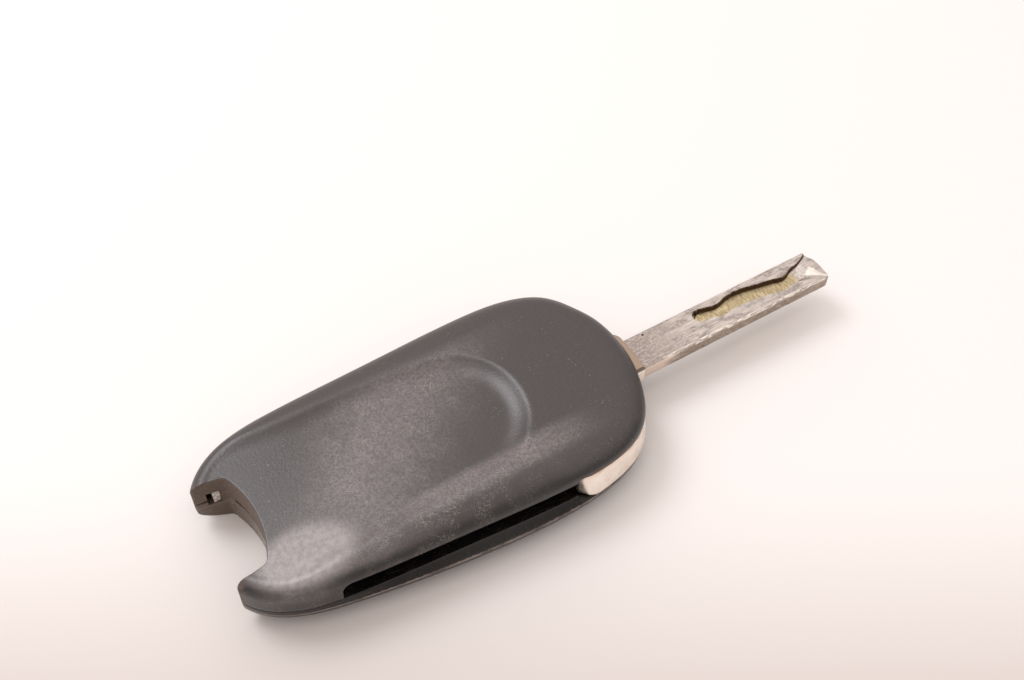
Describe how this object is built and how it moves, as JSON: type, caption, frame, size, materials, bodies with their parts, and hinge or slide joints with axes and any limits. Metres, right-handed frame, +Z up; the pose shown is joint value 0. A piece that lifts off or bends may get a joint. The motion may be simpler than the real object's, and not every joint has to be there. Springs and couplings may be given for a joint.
{
  "type": "car key",
  "caption": "Folding-blade remote car key, blade swung out: slim plastic case with a thumb recess, a notched tail and a blade slot along one side.",
  "frame": {"origin": "under the middle of the case's length and width, on the flat of the button side that the key lies on", "axes": "+X along the case towards the blade's tip, +Y away from the blade slot, +Z up through the rear cover"},
  "size_m": [0.1173, 0.0412, 0.0131],
  "materials": {
    "cover_plastic": "fine-grained moulded plastic, worn smoother near the tail",
    "case_plastic": "glossy black",
    "head_metal": "satin plated zinc, scuffed",
    "blade_metal": "nickel silver, scratched, with a brassy milled track",
    "steel": "bright steel",
    "spring_steel": "drawn spring wire",
    "button_plastic": "soft matt black",
    "keypad_rubber": "silicone rubber",
    "board_laminate": "green solder mask",
    "switch_metal": "tinned switch frame",
    "cell_steel": "rolled stainless steel",
    "contact_metal": "plated spring bronze",
    "chip_plastic": "moulded epoxy",
    "crystal_metal": "plated can",
    "ferrite": "dark ferrite",
    "capacitor_ceramic": "fired ceramic with tinned ends"
  },
  "bodies": {
    "case": {"rear_cover": "cover_plastic", "front_case": "case_plastic", "flip_spring": "spring_steel", "return_spring": "spring_steel", "keypad": "keypad_rubber", "circuit_board": "board_laminate", "lock_switch": "switch_metal", "unlock_switch": "switch_metal", "boot_switch": "switch_metal", "coin_cell": "cell_steel", "negative_contact": "contact_metal", "positive_contact": "contact_metal", "main_chip": "chip_plastic", "radio_crystal": "crystal_metal", "low_band_coil": "ferrite", "transponder": "chip_plastic", "capacitors": "capacitor_ceramic", "ring_bar_stub": "steel"},
    "blade": {"blade_head": "head_metal", "key_blade": "blade_metal", "blade_pin": "steel"},
    "release": {"release_button": "button_plastic"},
    "lock": {"lock_button": "button_plastic"},
    "unlock": {"unlock_button": "button_plastic"},
    "boot": {"boot_button": "button_plastic"}
  },
  "joints": [
    {"name": "blade_flip", "type": "hinge", "parent": "case", "child": "blade", "pos_m": [0.0295, -0.00875, 0.0072], "axis": [0, 0, 1], "range_deg": [-184.35, 0], "stiffness_Nm_per_rad": 0.012, "springref_deg": 68.75},
    {"name": "release_press", "type": "slide", "parent": "case", "child": "release", "axis": [0, 0, 1], "range_m": [0, 0.001], "stiffness_N_per_m": 600, "springref_m": -0.0003, "deforming": ["return_spring"]},
    {"name": "lock_press", "type": "slide", "parent": "case", "child": "lock", "axis": [0, 0, 1], "range_m": [0, 0.0004], "stiffness_N_per_m": 800, "springref_m": -0.0003},
    {"name": "unlock_press", "type": "slide", "parent": "case", "child": "unlock", "axis": [0, 0, 1], "range_m": [0, 0.0004], "stiffness_N_per_m": 800, "springref_m": -0.0003},
    {"name": "boot_press", "type": "slide", "parent": "case", "child": "boot", "axis": [0, 0, 1], "range_m": [0, 0.0004], "stiffness_N_per_m": 800, "springref_m": -0.0003}
  ]
}
